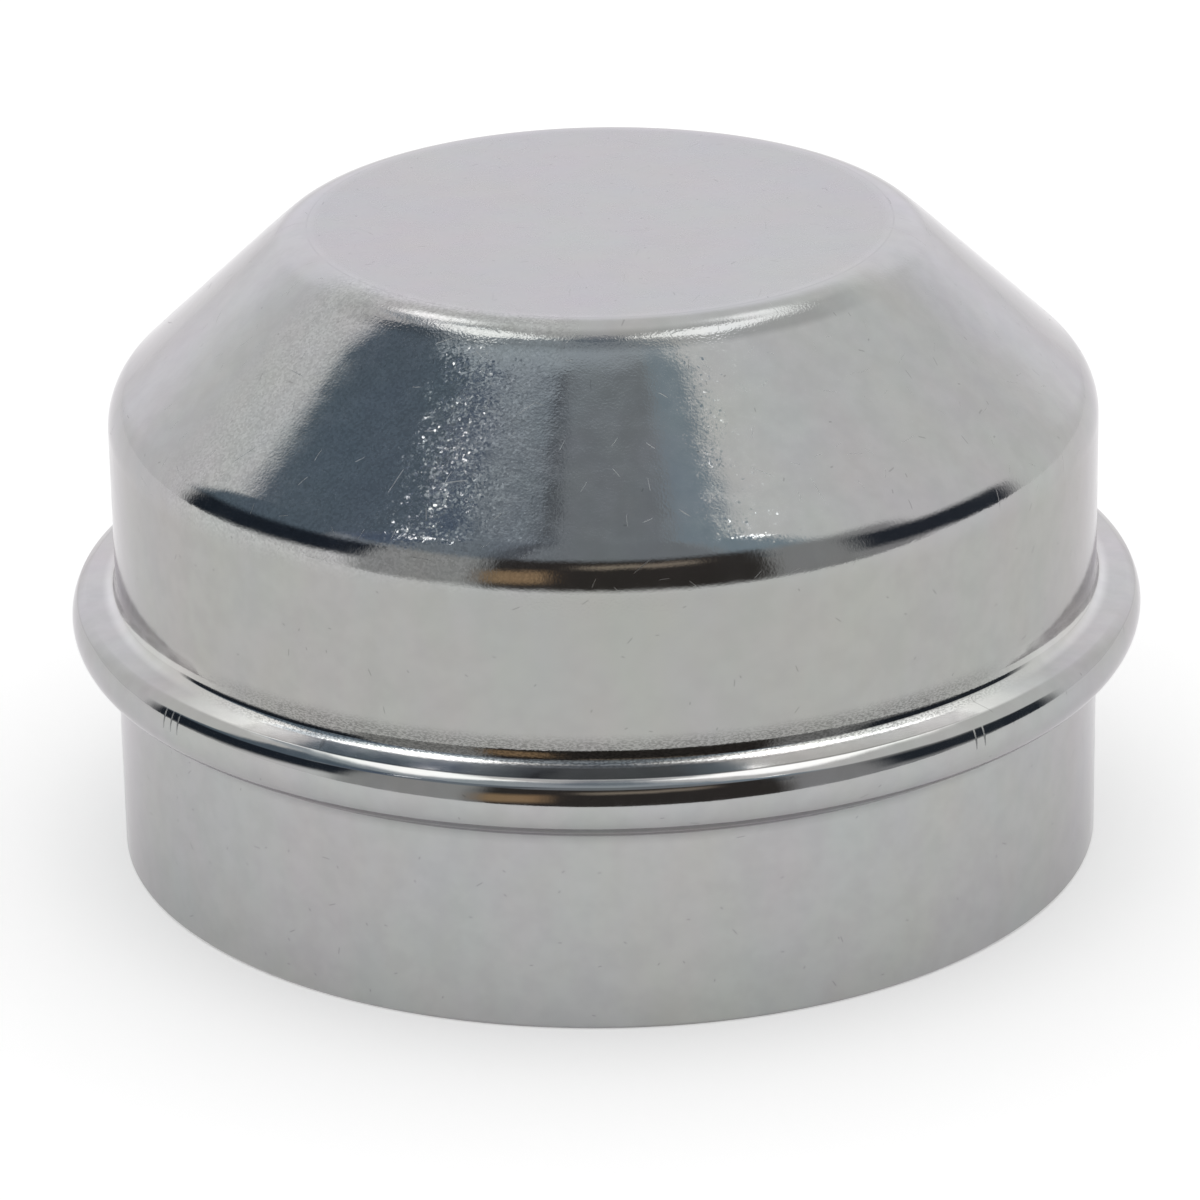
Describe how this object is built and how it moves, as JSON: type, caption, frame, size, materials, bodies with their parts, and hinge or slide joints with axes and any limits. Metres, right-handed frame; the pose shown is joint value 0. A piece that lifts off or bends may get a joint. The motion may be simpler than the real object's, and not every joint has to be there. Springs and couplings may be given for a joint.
{
  "type": "hub grease cap",
  "caption": "Pressed sheet-steel hub grease cap: flat crown on a cone, straight wall, rolled stop collar and a plain spigot that presses into the hub.",
  "frame": {"origin": "centre of the open rim, on the plane of its edge", "axes": "+Z along the cap's axis, from the open rim to the closed crown; the cap is round, so X and Y are free"},
  "size_m": [0.0704, 0.0704, 0.0422],
  "materials": {
    "zinc_steel": "bright zinc plating on drawn steel, satin with soft reflections"
  },
  "bodies": {
    "root": {"grease_cap": "zinc_steel"}
  },
  "joints": []
}
